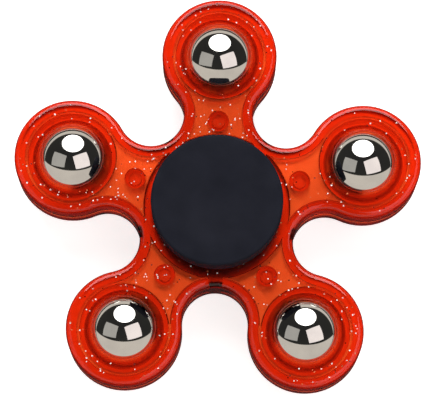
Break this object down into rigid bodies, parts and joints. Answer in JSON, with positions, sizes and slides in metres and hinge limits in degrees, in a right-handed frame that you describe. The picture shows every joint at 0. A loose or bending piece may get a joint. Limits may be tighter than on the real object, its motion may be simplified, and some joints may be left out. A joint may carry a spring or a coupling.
{
  "type": "fidget spinner",
  "caption": "Hand spinner with round lobes, steel balls set in clear glittery plastic and a central bearing held by finger caps.",
  "frame": {"origin": "centre of the bearing, on the spin axis, midway between the two finger caps", "axes": "+Z along the spin axis and out of the front cap, +Y through the middle of one lobe, +X along the body's widest span"},
  "size_m": [0.081, 0.078, 0.024],
  "materials": {
    "clear_red_plastic": "clear orange-red polycarbonate with glitter in it, polished",
    "polished_steel": "polished",
    "ground_steel": "ground",
    "tinned_steel": "pressed sheet",
    "black_plastic": "fine matt"
  },
  "bodies": {
    "grip": {"inner_ring": "ground_steel", "front_cap": "black_plastic", "rear_cap": "black_plastic"},
    "rotor": {"upper_shell": "clear_red_plastic", "lower_shell": "clear_red_plastic", "weight_ball_1": "polished_steel", "weight_ball_2": "polished_steel", "weight_ball_3": "polished_steel", "weight_ball_4": "polished_steel", "weight_ball_5": "polished_steel", "outer_ring": "ground_steel", "front_shield": "tinned_steel", "rear_shield": "tinned_steel"},
    "cage": {"cage_upper": "tinned_steel", "cage_lower": "tinned_steel", "cage_rivet_1": "tinned_steel", "cage_rivet_2": "tinned_steel", "cage_rivet_3": "tinned_steel", "cage_rivet_4": "tinned_steel", "cage_rivet_5": "tinned_steel", "cage_rivet_6": "tinned_steel", "cage_rivet_7": "tinned_steel"},
    "roller_1": {"bearing_ball_1": "polished_steel"},
    "roller_2": {"bearing_ball_2": "polished_steel"},
    "roller_3": {"bearing_ball_3": "polished_steel"},
    "roller_4": {"bearing_ball_4": "polished_steel"},
    "roller_5": {"bearing_ball_5": "polished_steel"},
    "roller_6": {"bearing_ball_6": "polished_steel"},
    "roller_7": {"bearing_ball_7": "polished_steel"}
  },
  "joints": [
    {"name": "rotor_spin", "type": "hinge", "parent": "grip", "child": "rotor", "pos_m": [0, 0, 0], "axis": [0, 0, 1], "continuous": true},
    {"name": "cage_spin", "type": "hinge", "parent": "grip", "child": "cage", "pos_m": [0, 0, 0], "axis": [0, 0, 1], "continuous": true},
    {"name": "roller_spin_1", "type": "hinge", "parent": "cage", "child": "roller_1", "pos_m": [0.0075, 0, 0], "axis": [0, 0, 1], "continuous": true},
    {"name": "roller_spin_2", "type": "hinge", "parent": "cage", "child": "roller_2", "pos_m": [0.00468, 0.00586, 0], "axis": [0, 0, 1], "continuous": true},
    {"name": "roller_spin_3", "type": "hinge", "parent": "cage", "child": "roller_3", "pos_m": [-0.00167, 0.00731, 0], "axis": [0, 0, 1], "continuous": true},
    {"name": "roller_spin_4", "type": "hinge", "parent": "cage", "child": "roller_4", "pos_m": [-0.00676, 0.00325, 0], "axis": [0, 0, 1], "continuous": true},
    {"name": "roller_spin_5", "type": "hinge", "parent": "cage", "child": "roller_5", "pos_m": [-0.00676, -0.00325, 0], "axis": [0, 0, 1], "continuous": true},
    {"name": "roller_spin_6", "type": "hinge", "parent": "cage", "child": "roller_6", "pos_m": [-0.00167, -0.00731, 0], "axis": [0, 0, 1], "continuous": true},
    {"name": "roller_spin_7", "type": "hinge", "parent": "cage", "child": "roller_7", "pos_m": [0.00468, -0.00586, 0], "axis": [0, 0, 1], "continuous": true}
  ],
  "couplings": [
    {"joint": "cage_spin", "follows": "rotor_spin", "ratio": 0.632},
    {"joint": "roller_spin_1", "follows": "rotor_spin", "ratio": 1.7619},
    {"joint": "roller_spin_2", "follows": "rotor_spin", "ratio": 1.7619},
    {"joint": "roller_spin_3", "follows": "rotor_spin", "ratio": 1.7619},
    {"joint": "roller_spin_4", "follows": "rotor_spin", "ratio": 1.7619},
    {"joint": "roller_spin_5", "follows": "rotor_spin", "ratio": 1.7619},
    {"joint": "roller_spin_6", "follows": "rotor_spin", "ratio": 1.7619},
    {"joint": "roller_spin_7", "follows": "rotor_spin", "ratio": 1.7619}
  ]
}
